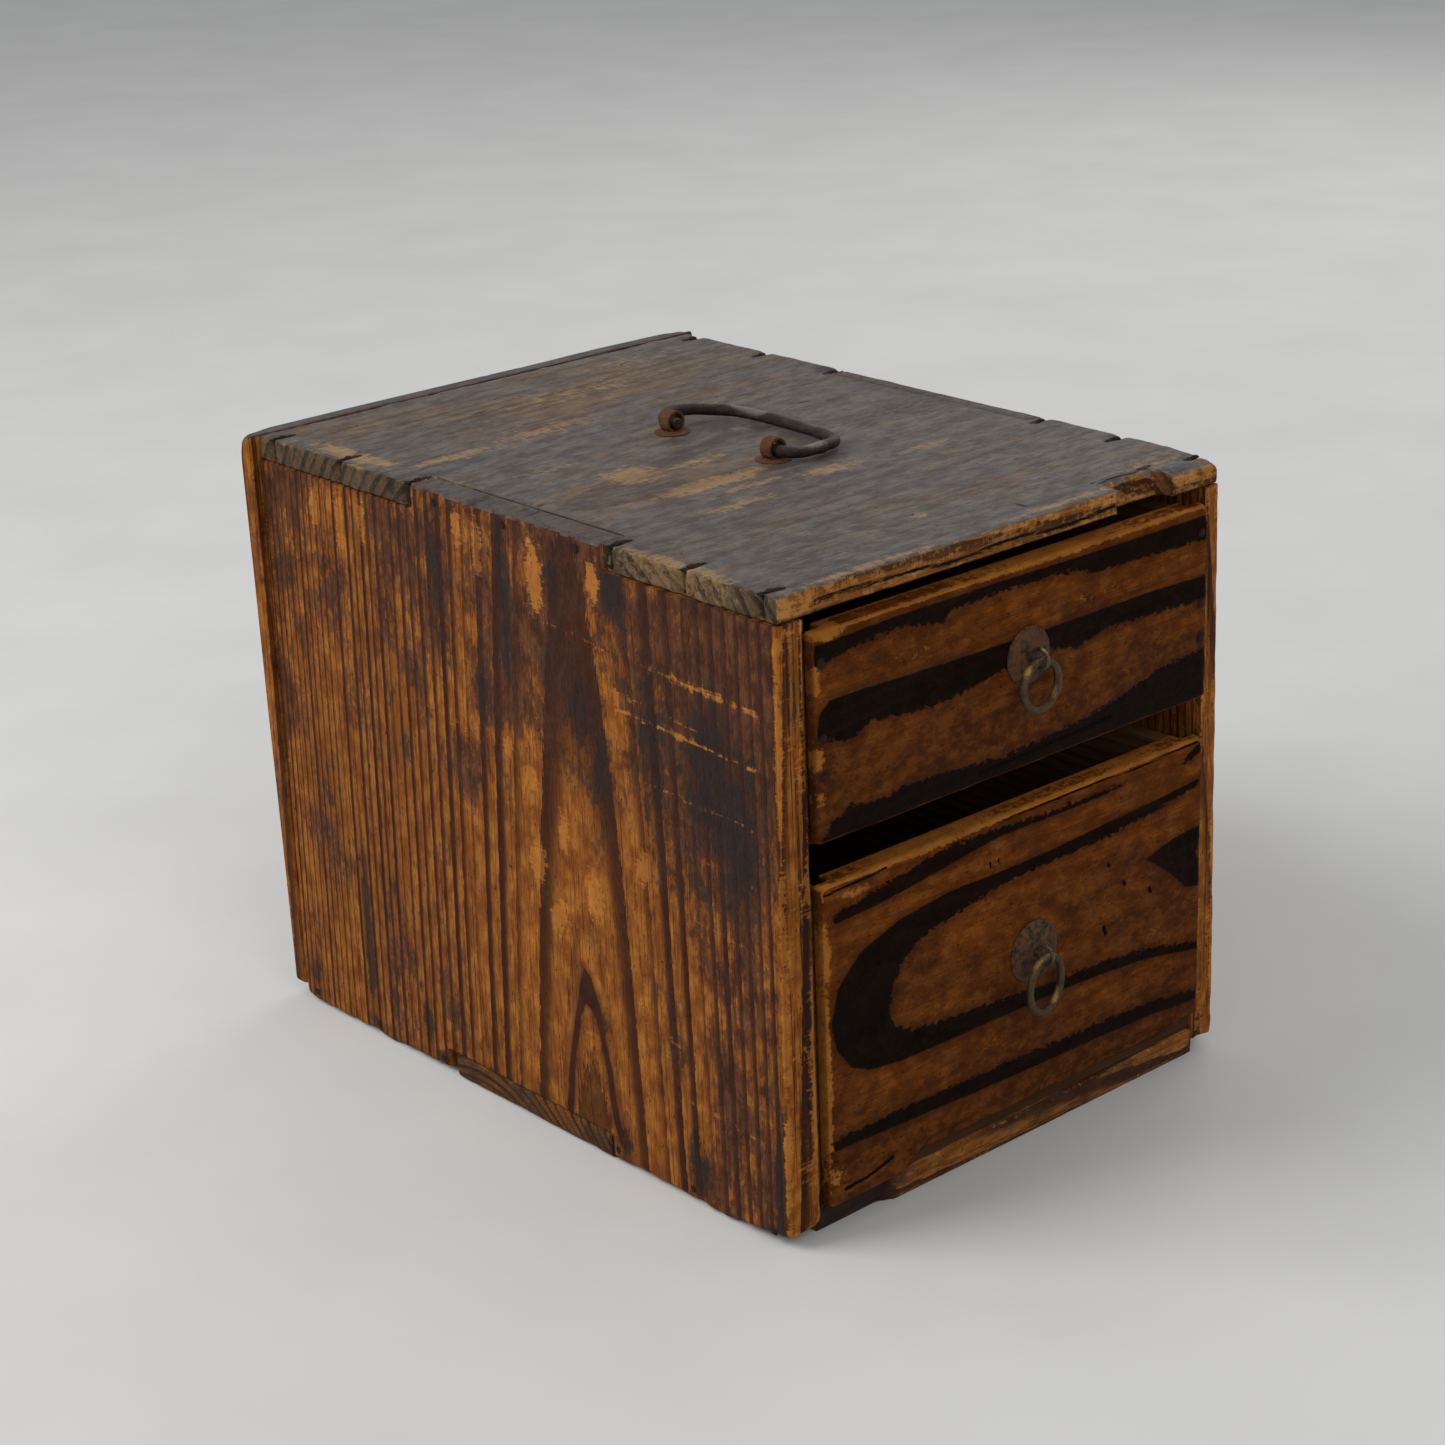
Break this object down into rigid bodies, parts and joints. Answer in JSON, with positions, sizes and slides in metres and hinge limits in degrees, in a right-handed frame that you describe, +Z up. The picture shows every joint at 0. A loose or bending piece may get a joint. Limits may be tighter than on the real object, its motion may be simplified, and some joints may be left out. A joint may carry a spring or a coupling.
{
  "type": "tansu chest",
  "caption": "Small tabletop tansu chest in worn softwood: drawers one above the other on ring pulls, nailed finger-jointed case, folding iron bail handle on top.",
  "frame": {"origin": "middle of the case's footprint, on the surface the chest stands on", "axes": "+X to the right as one faces the drawers, +Y towards the back, +Z up; drawers pull out along -Y"},
  "size_m": [0.215, 0.3035, 0.2352],
  "materials": {
    "case_wood": "worn oiled softwood, raised dark grain, soot stains",
    "top_wood": "grey weathered softwood, tan where it is worn",
    "front_wood": "brown softwood with near-black burnt grain bands",
    "drawer_wood": "bare softwood, darkened with age",
    "nail_iron": "dark hand-forged iron",
    "washer_iron": "rusted iron",
    "handle_iron": "dark forged iron, worn bright on the grip",
    "plate_iron": "brown-grey patinated iron",
    "pull_wire": "dull flattened wire",
    "pull_brass": "aged brass with green-grey patina and bright wear"
  },
  "bodies": {
    "case": {"left_side": "case_wood", "right_side": "case_wood", "top_board": "top_wood", "bottom_board": "case_wood", "back_panel": "case_wood", "drawer_shelf": "case_wood", "top_nails": "nail_iron", "finger_nails": "nail_iron", "foot_nails": "nail_iron", "under_nails": "nail_iron", "back_nails": "nail_iron", "handle_seat_front": "washer_iron", "handle_seat_rear": "washer_iron", "handle_eye_front": "handle_iron", "handle_eye_rear": "handle_iron"},
    "bail": {"bail_handle": "handle_iron"},
    "upper_drawer": {"upper_front": "front_wood", "upper_left_wall": "drawer_wood", "upper_right_wall": "drawer_wood", "upper_rear": "drawer_wood", "upper_floor": "drawer_wood", "upper_front_nails": "nail_iron", "upper_rear_nails": "nail_iron", "upper_floor_nails": "nail_iron", "upper_plate": "plate_iron", "upper_pin": "pull_wire"},
    "upper_pull": {"upper_ring": "pull_brass"},
    "lower_drawer": {"lower_front": "front_wood", "lower_left_wall": "drawer_wood", "lower_right_wall": "drawer_wood", "lower_rear": "drawer_wood", "lower_floor": "drawer_wood", "lower_front_nails": "nail_iron", "lower_rear_nails": "nail_iron", "lower_floor_nails": "nail_iron", "lower_plate": "plate_iron", "lower_pin": "pull_wire"},
    "lower_pull": {"lower_ring": "pull_brass"}
  },
  "joints": [
    {"name": "upper_drawer_slide", "type": "slide", "parent": "case", "child": "upper_drawer", "axis": [0, -1, 0], "range_m": [0, 0.2]},
    {"name": "lower_drawer_slide", "type": "slide", "parent": "case", "child": "lower_drawer", "axis": [0, -1, 0], "range_m": [0, 0.2]},
    {"name": "upper_ring_swing", "type": "hinge", "parent": "upper_drawer", "child": "upper_pull", "pos_m": [0.00375, -0.1544, 0.1811], "axis": [-1, 0, 0], "range_deg": [-10, 170]},
    {"name": "lower_ring_swing", "type": "hinge", "parent": "lower_drawer", "child": "lower_pull", "pos_m": [0.00625, -0.1544, 0.0725], "axis": [-0.9816, -0.1908, 0], "range_deg": [-10, 170]},
    {"name": "bail_swing", "type": "hinge", "parent": "case", "child": "bail", "pos_m": [0, -0.00275, 0.2305], "axis": [0, -1, 0], "range_deg": [0, 165]}
  ]
}
